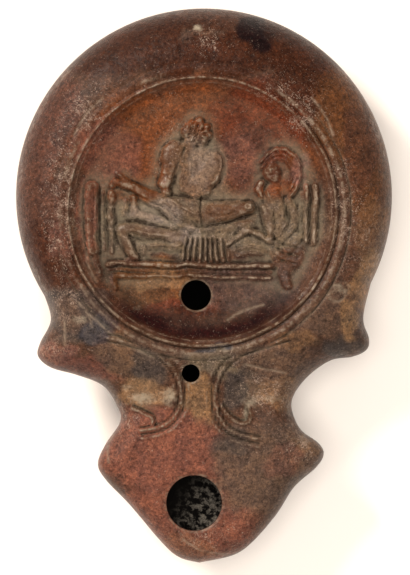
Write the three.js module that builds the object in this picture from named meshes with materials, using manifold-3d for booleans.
// Roman terracotta oil lamp: one hollow piece of fired clay, pressed in an upper and a lower mould.
// Millimetres, +Z up. The lamp stands on its round foot, whose centre is the origin, and the nozzle
// points along -Y. The upper face has a sunk discus with a couch scene, a filling hole, an air hole,
// a pair of volutes with knobs at both ends, and a flat nozzle deck with the wick hole.
import * as THREE from "three";
import { mergeVertices } from "three/addons/utils/BufferGeometryUtils.js";
import Module from "manifold-3d";

// Driving dimensions of the body.
const BODY_RADIUS = 40;
const SEAM_HEIGHT = 17.5; // the widest line, where the two mould halves were joined
const RING_HEIGHT = 27.5; // crest of the moulded ring round the discus
const DECK_HEIGHT = 24; // flat top of the nozzle
const WALL = 3;
const FOOT_RADIUS = 21;
const FOOT_STEP = 0.8; // how far the foot stands below the bowl
const NOZZLE_REACH = 77.9; // from the foot's centre to the nozzle's tip

// The discus lies a little nearer the nozzle than the body's own centre.
const DISCUS = { x: -0.4, y: -3.3 };
const RING_RADIUS = 31; // crest of the outer ring
const DISCUS_RADIUS = 27.4; // where the sunk dish begins
const DISCUS_DEPTH = 4;
const DISCUS_FLOOR = RING_HEIGHT - 0.7 - DISCUS_DEPTH;
const DISH_POWER = 6; // a high power keeps the floor flat and turns it up near the ring
const GROOVE = 0.7; // depth of the groove between the two rings

const FILLING_HOLE = { x: -1.7, y: -21, radius: 3.2 };
const AIR_HOLE = { x: -2.8, y: -37.5, radius: 1.9 };
const WICK_HOLE = { x: -2.1, y: -65, radius: 5.9 };

// How far the rounded edge of the nozzle's deck reaches in, and where the shoulder turns into the deck.
const DECK_EDGE = 5;
const DECK_BEGINS = -30;
const DECK_FULL = -46;

// Resolution of the turned and lofted surfaces.
const RING_SIDES = 46;
const HOLLOW_SIDES = 32;
const STATIONS = 50;
const TOP_COLUMNS = 18;
const UNDER_COLUMNS = 12;
const RIM_STEP = 0.25;

// Plan of one flank from where it leaves the round body to the nozzle's tip: the hollow above the
// shoulder knob, the knob, the waist, the nozzle knob and the flank that runs in to the tip.
const TIP = [-1, -NOZZLE_REACH];
const LEFT_FLANK = [
  [-33.9, -21.2], [-32.6, -26.3], [-34.9, -31.2], [-35.3, -34], [-32.6, -36.4],
  [-27, -38], [-21.6, -40.2], [-18.7, -44.2], [-17.8, -47.8], [-20.9, -52.6],
  [-22.6, -56.9], [-20.8, -60.4], [-15.8, -65.6], [-8.8, -73.8], [-5.2, -76.8], TIP,
];
const RIGHT_FLANK = [
  [35.5, -18.4], [33.9, -25.8], [35.1, -30.2], [34.6, -32.6], [31.6, -34.1], [26.9, -34.9],
  [22.2, -38.2], [19.2, -42.1], [18.7, -45.3], [20.6, -49.6], [24.2, -52.3],
  [25.5, -54.7], [23.9, -57.6], [19.2, -61.8], [15.5, -67.5], [10.4, -73.4], [6.2, -76.3], TIP,
];

// The volutes' curved edges face each other across the channel between them.
const LEFT_VOLUTE = [
  [-20.2, -30.1], [-14.7, -31.4], [-9.8, -33.6], [-6.3, -37], [-4.9, -41.5],
  [-5.6, -45.6], [-8.6, -48.6], [-13.4, -49.6],
];
const RIGHT_VOLUTE = [
  [17.7, -30], [12, -31.9], [7.3, -33.6], [4, -36.7], [2.4, -41.4],
  [3.1, -46.4], [6.3, -50], [11.9, -51.5],
];
const LEFT_SCROLL = [[-15.4, -43.9], [-12.9, -45.5], [-11, -46.5], [-11.2, -48.1]];
const RIGHT_SCROLL = [[7.2, -45], [7.6, -48.1], [9.3, -47.6], [9.5, -45.2]];
const VOLUTE_RIDGE = { width: 1.1, rise: 0.5, sunk: 0.35 };
const VOLUTE_HOLLOWS = [
  { x: -12.6, y: -40.6, across: 6.6, along: 8, depth: 0.9 },
  { x: 10.2, y: -41.6, across: 6.8, along: 8.2, depth: 0.9 },
];

const wasm = await Module();
wasm.setup();

const mix = (a, b, share) => a + (b - a) * share;
const clamp01 = (t) => Math.min(1, Math.max(0, t));
const smoothstep = (t) => clamp01(t) ** 2 * (3 - 2 * clamp01(t));
const quarterRound = (t) => Math.sqrt(Math.max(0, 1 - (1 - t) ** 2));

// A closed geometry as a solid that can be joined and cut. One that came out inside out is turned.
function solid(geometry) {
  const bare = geometry.clone();
  bare.deleteAttribute("normal");
  bare.deleteAttribute("uv");
  const merged = mergeVertices(bare, 1e-4);
  const make = (triVerts) => new wasm.Manifold(new wasm.Mesh({
    numProp: 3,
    vertProperties: new Float32Array(merged.attributes.position.array),
    triVerts,
  }));
  const corners = new Uint32Array(merged.index.array);
  const made = make(corners);
  return made.volume() < 0 ? make(corners.reverse()) : made;
}

function geometryOf(body) {
  const mesh = body.getMesh();
  return new THREE.BufferGeometry()
    .setAttribute("position", new THREE.BufferAttribute(new Float32Array(mesh.vertProperties), 3))
    .setIndex(new THREE.BufferAttribute(new Uint32Array(mesh.triVerts), 1));
}

// A smooth curve through points in plan, as a list of [x, y].
function smoothLine(points, steps) {
  const curve = new THREE.SplineCurve(points.map(([x, y]) => new THREE.Vector2(x, y)));
  return curve.getSpacedPoints(steps).map((p) => [p.x, p.y]);
}

// One side of the plan from the back to the tip: an arc of the round body, then the flank.
function sideLine(flank, side) {
  const [startX, startY] = flank[0];
  const turn = Math.PI / 2 - Math.atan2(startY, Math.abs(startX));
  const radiusHere = Math.hypot(startX, startY);
  const arcSteps = Math.round((BODY_RADIUS * turn) / RIM_STEP);
  const arc = Array.from({ length: arcSteps }, (_, i) => {
    const angle = (turn * i) / arcSteps;
    const radius = mix(BODY_RADIUS, radiusHere, smoothstep(i / arcSteps));
    return [side * radius * Math.sin(angle), radius * Math.cos(angle)];
  });
  return [...arc, ...smoothLine(flank, Math.round(90 / RIM_STEP))];
}

const leftSide = sideLine(LEFT_FLANK, -1);
const rightSide = sideLine(RIGHT_FLANK, 1);

// Where one side of the plan lies at a given distance along the lamp.
function sideAt(line, y) {
  for (let i = 1; i < line.length; i++) {
    const [x0, y0] = line[i - 1];
    const [x1, y1] = line[i];
    if (y <= y0 && y >= y1) return y0 === y1 ? x1 : mix(x0, x1, (y0 - y) / (y0 - y1));
  }
  return line[line.length - 1][0];
}

const rimPieces = [leftSide, rightSide].flatMap((line) => line.slice(1).map(([x, y], i) => ({
  x: (x + line[i][0]) / 2,
  y: (y + line[i][1]) / 2,
  length: Math.hypot(x - line[i][0], y - line[i][1]),
})));

// A soft distance to the rim. It equals the true distance beside the rim, and has no crease in the
// middle, because every piece of the rim counts, by its length over its distance to the fourth.
const STRAIGHT_RIM = Math.PI / 2; // what that sum comes to at distance 1 from a straight rim
function rimDistance(x, y) {
  const sum = rimPieces.reduce(
    (total, piece) => total + piece.length / ((x - piece.x) ** 2 + (y - piece.y) ** 2) ** 2, 0);
  return Math.cbrt(STRAIGHT_RIM / sum);
}

// The volutes' shallow hollows: a rounded dip that fades out at its oval edge.
function voluteHollow(x, y) {
  return VOLUTE_HOLLOWS.reduce((total, dip) => {
    const away = ((x - dip.x) / dip.across) ** 2 + ((y - dip.y) / dip.along) ** 2;
    return total + dip.depth * Math.max(0, 1 - away) ** 2;
  }, 0);
}

// Upper face: a convex shoulder from the ring down to the rim, which turns into a flat deck with a
// rounded edge along the nozzle.
function topHeight(x, y) {
  const rim = rimDistance(x, y);
  const pastRing = Math.max(0, Math.hypot(x - DISCUS.x, y - DISCUS.y) - RING_RADIUS);
  const shoulder = mix(SEAM_HEIGHT, RING_HEIGHT, quarterRound(rim / (rim + pastRing)));
  const deck = mix(SEAM_HEIGHT, DECK_HEIGHT, quarterRound(Math.min(1, rim / DECK_EDGE)));
  const onNozzle = smoothstep((DECK_BEGINS - y) / (DECK_BEGINS - DECK_FULL));
  return mix(shoulder, deck, onNozzle) - voluteHollow(x, y);
}

// Underside: level above the foot, then a bowl that rises ever more steeply to the rim, and that
// stretches out under the nozzle like a boat's bow.
const BOWL_SLOPE = 0.35;
function underHeight(x, y) {
  const rim = rimDistance(x, y);
  const pastFoot = Math.max(0, Math.hypot(x, y) - FOOT_RADIUS);
  const share = pastFoot / (pastFoot + rim);
  const rise = BOWL_SLOPE * share + (1 - BOWL_SLOPE) * (1 - Math.sqrt(1 - share ** 2));
  return mix(FOOT_STEP, SEAM_HEIGHT, rise);
}

// A closed skin through rings of equal length, with a single point at each end.
function loft(firstPoint, rings, lastPoint) {
  const count = rings[0].length;
  const corners = [];
  const vertex = (ring, i) => 1 + ring * count + (i % count);
  const last = 1 + rings.length * count;
  for (let i = 0; i < count; i++) {
    corners.push(0, vertex(0, i), vertex(0, i + 1));
    for (let ring = 0; ring + 1 < rings.length; ring++) {
      corners.push(vertex(ring, i), vertex(ring + 1, i), vertex(ring + 1, i + 1));
      corners.push(vertex(ring, i), vertex(ring + 1, i + 1), vertex(ring, i + 1));
    }
    corners.push(vertex(rings.length - 1, i), last, vertex(rings.length - 1, i + 1));
  }
  return new THREE.BufferGeometry()
    .setAttribute("position", new THREE.Float32BufferAttribute(
      [firstPoint, ...rings.flat(), lastPoint].flat(), 3))
    .setIndex(corners);
}

// The stations follow the rim at equal steps of arc, so they crowd where the plan turns across.
function stationPlaces(count) {
  const steps = leftSide.length - 1;
  return Array.from({ length: count }, (_, i) => {
    const share = (i + 1) / (count + 1);
    const left = leftSide[Math.round(share * steps)][1];
    const right = rightSide[Math.round(share * (rightSide.length - 1))][1];
    return (left + right) / 2;
  });
}

// Slices across the lamp, each a closed ring: left to right over the top and back underneath.
function outerSkin() {
  const share = (i, count) => (1 - Math.cos((Math.PI * i) / count)) / 2;
  const rings = stationPlaces(STATIONS).map((y) => {
    const left = sideAt(leftSide, y);
    const right = sideAt(rightSide, y);
    const ring = [[left, y, SEAM_HEIGHT]];
    for (let i = 1; i < TOP_COLUMNS; i++) {
      const x = mix(left, right, share(i, TOP_COLUMNS));
      ring.push([x, y, topHeight(x, y)]);
    }
    ring.push([right, y, SEAM_HEIGHT]);
    for (let i = 1; i < UNDER_COLUMNS; i++) {
      const x = mix(right, left, share(i, UNDER_COLUMNS));
      ring.push([x, y, underHeight(x, y)]);
    }
    return ring;
  });
  return solid(loft([0, BODY_RADIUS, SEAM_HEIGHT], rings, [...TIP, SEAM_HEIGHT]));
}

// A solid of revolution about the vertical, from a profile of [radius, height].
function turned(profile, sides = RING_SIDES) {
  const points = profile.map(([radius, height]) => new THREE.Vector2(radius, height));
  return new THREE.LatheGeometry(points, sides).rotateX(Math.PI / 2);
}

// The round foot, with a groove turned into its underside. It reaches up into the bowl's wall.
function foot() {
  const groove = { radius: 17, half: 0.5, depth: 0.5 };
  const top = FOOT_STEP + WALL / 2;
  return solid(turned([
    [0, 0], [groove.radius - groove.half, 0], [groove.radius, groove.depth],
    [groove.radius + groove.half, 0], [FOOT_RADIUS - 0.4, 0], [FOOT_RADIUS, 0.4],
    [FOOT_RADIUS, top], [0, top],
  ]));
}

const dishHeight = (radius) => DISCUS_FLOOR + DISCUS_DEPTH * (radius / DISCUS_RADIUS) ** DISH_POWER;

// Everything above the discus and its two rings, which is cut out of the outer skin.
function discusCut() {
  const dish = [0, 14, 19, 22.5, 24.8, 26.3, DISCUS_RADIUS].map((r) => [r, dishHeight(r)]);
  const innerRing = RING_RADIUS - 2.4;
  const clear = RING_HEIGHT + 5;
  return solid(turned([
    ...dish, [innerRing, RING_HEIGHT - 0.25], [innerRing + 0.8, RING_HEIGHT - GROOVE],
    [RING_RADIUS - 0.9, RING_HEIGHT - 0.1], [RING_RADIUS, RING_HEIGHT], [RING_RADIUS, clear], [0, clear],
  ])).translate(DISCUS.x, DISCUS.y, 0);
}

// A rounded ridge along a line in plan, with its lower half sunk in the upper face.
function ridge(points, { width, rise, sunk }) {
  const steps = points.length * 2;
  const path = new THREE.CatmullRomCurve3(smoothLine(points, steps).map(
    ([x, y]) => new THREE.Vector3(x, y, topHeight(x, y) - sunk)));
  const sides = 6;
  const section = new THREE.Shape(Array.from({ length: sides }, (_, i) => {
    const angle = (2 * Math.PI * i) / sides;
    return new THREE.Vector2((rise + sunk) * Math.cos(angle), (width / 2) * Math.sin(angle));
  }));
  return solid(new THREE.ExtrudeGeometry(section, { steps, extrudePath: path, bevelEnabled: false }));
}

// The couch scene. Places are across and up from the discus's centre, in millimetres, and every
// figure stands out of the dish by RISE times its own half width.
const RISE = 0.62;
const THICK = { sides: 8, capSteps: 2 };
const THIN = { radius: 0.9, sides: 6, capSteps: 1 }; // bars thinner than this radius are plainer
const floorAt = (across, up) => dishHeight(Math.hypot(across, up));

// A limb: a tapering round bar with rounded ends, half sunk in the dish.
function limb([across0, up0, radius0], [across1, up1, radius1], rise = RISE) {
  const length = Math.hypot(across1 - across0, up1 - up0);
  const { sides, capSteps } = Math.max(radius0, radius1) < THIN.radius ? THIN : THICK;
  const cap = (radius, at, from) => Array.from({ length: capSteps + 1 }, (_, i) => {
    const angle = from + (i * Math.PI) / 2 / capSteps;
    return new THREE.Vector2(Math.max(0, radius * Math.cos(angle)), at + radius * Math.sin(angle));
  });
  const profile = [...cap(radius0, 0, -Math.PI / 2), ...cap(radius1, length, 0)];
  const bar = new THREE.LatheGeometry(profile, sides)
    .scale(1, 1, rise)
    .rotateZ(Math.atan2(up1 - up0, across1 - across0) - Math.PI / 2);
  const middle = [(across0 + across1) / 2, (up0 + up1) / 2];
  return solid(bar.translate(DISCUS.x + across0, DISCUS.y + up0, floorAt(...middle)));
}

// Limbs end to end along a line of [across, up, radius].
const chain = (line, rise) => line.slice(1).map((point, i) => limb(line[i], point, rise));

// A low oval form, such as a head or a chest.
function oval(across, up, halfWidth, halfLength, height) {
  const ball = new THREE.SphereGeometry(1, 10, 6).rotateX(Math.PI / 2);
  ball.scale(halfWidth, halfLength, height);
  return solid(ball.translate(DISCUS.x + across, DISCUS.y + up, floorAt(across, up)));
}

// An arc of round bar, such as a fold of a veil.
function arcBar(across, up, radius, fromDegrees, toDegrees, thickness) {
  const pieces = 5;
  const line = Array.from({ length: pieces + 1 }, (_, i) => {
    const angle = (mix(fromDegrees, toDegrees, i / pieces) * Math.PI) / 180;
    return [across + radius * Math.cos(angle), up + radius * Math.sin(angle), thickness];
  });
  return chain(line, 1.1);
}

// A turned couch post: two bulbs between slim necks, seen from the side.
function turnedPost(across, top, bottom) {
  const steps = 8;
  const bulge = (t) => 0.62 + 0.42 * Math.abs(Math.sin(t * Math.PI * 2.5));
  const radii = Array.from({ length: steps + 1 }, (_, i) => {
    const t = i / steps;
    return new THREE.Vector2(bulge(t), mix(0, top - bottom, t));
  });
  const profile = [new THREE.Vector2(0, 0), ...radii, new THREE.Vector2(0, top - bottom)];
  const post = new THREE.LatheGeometry(profile, THICK.sides).scale(1, 1, 1.1);
  return solid(post.translate(DISCUS.x + across, DISCUS.y + bottom, floorAt(across, bottom / 2)));
}

function couch() {
  const fringe = { first: -4.1, spacing: 1.12, count: 9, top: -5.6, bottom: -10.3 };
  const folds = Array.from({ length: fringe.count }, (_, i) => {
    const across = fringe.first + i * fringe.spacing;
    return limb([across, fringe.top, 0.42], [across, fringe.bottom, 0.5], 1.1);
  });
  return [
    limb([-19.3, -11.1, 0.85], [14.6, -11.7, 0.85], 0.9), // seat rail
    limb([-19.3, -13.1, 0.45], [14.4, -13.6, 0.45], 1), // lower moulding of the rail
    limb([-23.2, 4.7, 1.4], [-22.6, -8.6, 1.1], 0.8), // raised end at the foot of the couch
    limb([-22.6, -8.6, 0.9], [-21.2, -13.6, 0.6], 0.8),
    limb([22.1, 5, 0.75], [22, -7, 0.75], 1.1), // two mouldings of the raised head end
    limb([23.8, 5, 0.8], [23.4, -7, 0.7], 1.1),
    turnedPost(-19.2, 4.6, -8.8),
    limb([-14.1, 2.6, 1], [-14.1, -0.9, 1], 0.9), // bolster
    oval(2, -7.2, 13, 4.2, 0.55), // mattress under its cover
    ...folds,
  ];
}

// A draped figure lying along the couch, the head raised at the right.
function recliningFigure() {
  return [
    oval(15.3, 8.5, 2.3, 2.7, 1.9), // head
    ...arcBar(15.6, 8, 3.6, -35, 200, 0.6), // folds of the veil
    ...arcBar(16, 8, 4.7, -50, 165, 0.55),
    limb([11.9, 6.3, 1], [12.4, 4.6, 0.6]), // end of the veil
    limb([15.9, 5, 1.9], [16.6, -2.5, 2.9], 0.5), // chest
    limb([18.2, 2.2, 1.4], [20.3, -2.8, 1.1]), // far arm
    limb([13.6, 0.3, 1.2], [14.9, -4.8, 1.2], 0.9), // near arm, leaning on the elbow
    ...chain([[5.4, -7, 0.8], [9.3, -4.2, 1.1], [14.3, -6.7, 1.1]], 0.8), // fold of the mantle
    limb([9.5, 0.4, 2], [-4.6, 0.5, 2.2]), // body
    oval(9.8, 0.6, 1.1, 1.1, 1.7), // cup in the hand
    ...chain([[-4.6, 0.4, 2.3], [-10.2, 3.2, 1.7], [-15, 5.6, 1.1], [-18.6, 7.2, 0.9]]), // far leg
    limb([-3.4, -3.6, 2.4], [-16.6, -3.1, 1.5]), // near leg, bent over the edge
    limb([-16.8, -3.3, 1.3], [-14.4, -9.6, 1]),
    ...chain([[-6.2, 3, 0.6], [-0.8, 2, 0.5], [4.6, 1.8, 0.5], [8.8, 2.3, 0.6]], 1.8), // mantle edge
  ];
}

// A draped figure behind the couch, leaning over it on one straight arm.
function leaningFigure() {
  return [
    oval(-1, 16.6, 3.3, 3.4, 1.9), // head with short curls
    limb([-2.7, 14, 1.5], [-3.8, 12.4, 1.9]), // neck
    limb([-5.9, 12.9, 2.5], [-8.3, 5.9, 1.5], 0.75), // shoulder and straight arm
    oval(-0.7, 8.6, 4.6, 5.4, 1.2), // chest in its tunic
    ...chain([[2.4, 13.2, 0.5], [4.2, 11.4, 0.5], [3.9, 7.6, 0.5], [1.4, 4.6, 0.5]], 1.5), // cloak edge
  ];
}

// The hollow inside: a bowl under the shoulder and the discus, and a channel out to the wick hole.
function bowlHollow() {
  const inner = BODY_RADIUS - WALL - 0.4;
  const ceiling = RING_HEIGHT - WALL - 0.8;
  const bottom = FOOT_STEP + WALL;
  const bowl = solid(turned([
    [0, bottom], [FOOT_RADIUS - 2, bottom + 0.2], [28, bottom + 2.6], [33, bottom + 6.4], [inner, SEAM_HEIGHT],
    [inner - 1, SEAM_HEIGHT + 2.6], [inner - 4, ceiling - 1.2], [inner - 8, ceiling], [0, ceiling],
  ], HOLLOW_SIDES));
  const underDiscus = DISCUS_FLOOR - WALL;
  const discus = solid(turned([
    [0, underDiscus], [23, underDiscus], [RING_RADIUS - 1.6, ceiling - 0.8], [RING_RADIUS - 1, ceiling + 2],
    [0, ceiling + 2],
  ], HOLLOW_SIDES)).translate(DISCUS.x, DISCUS.y, 0);
  return bowl.subtract(discus);
}

function nozzleHollow() {
  const sides = 12;
  const stations = [
    { y: -26, half: 11, low: 6.2, high: 18.4 }, { y: -38, half: 12.6, low: 7.6, high: 19.4 },
    { y: -48, half: 12.8, low: 9.2, high: 20.4 }, { y: -58, half: 13, low: 11, high: 20.8 },
    { y: -66, half: 10.6, low: 12.8, high: 20.8 }, { y: -71.5, half: 6.6, low: 14.4, high: 20.4 },
  ];
  const centre = WICK_HOLE.x / 2;
  const rings = stations.map(({ y, half, low, high }) => Array.from({ length: sides }, (_, i) => {
    const angle = (2 * Math.PI * i) / sides;
    return [centre + half * Math.cos(angle), y, (low + high) / 2 + ((high - low) / 2) * Math.sin(angle)];
  }));
  return solid(loft([centre, -16, 12], rings, [centre, -74, 17.4]));
}

// A round hole straight down through the upper wall only.
function hole({ x, y, radius }, fromHeight, sides) {
  const height = 30;
  const pin = new THREE.CylinderGeometry(radius, radius, height, sides).rotateX(Math.PI / 2);
  return solid(pin.translate(x, y, fromHeight + height / 2));
}

const join = (solids) => solids.reduce((all, next) => all.add(next));

const relief = join([...couch(), ...recliningFigure(), ...leaningFigure()]);
const volutes = join([
  ridge(LEFT_VOLUTE, VOLUTE_RIDGE), ridge(RIGHT_VOLUTE, VOLUTE_RIDGE),
  ridge(LEFT_SCROLL, VOLUTE_RIDGE), ridge(RIGHT_SCROLL, VOLUTE_RIDGE),
]);
const hollow = bowlHollow().add(nozzleHollow());
const holes = join([
  hole(FILLING_HOLE, 12, 28), hole(AIR_HOLE, 14, 16), hole(WICK_HOLE, 17, 32),
]);
const lamp = outerSkin().subtract(discusCut()).add(relief).add(volutes).add(foot())
  .subtract(hollow).subtract(holes);

const clay = new THREE.MeshStandardMaterial({ color: 0x7d4c38, roughness: 0.62, metalness: 0 });
const lampMesh = new THREE.Mesh(geometryOf(lamp), clay);
lampMesh.name = "oil_lamp";

const group = new THREE.Group();
group.add(lampMesh);
export default group;
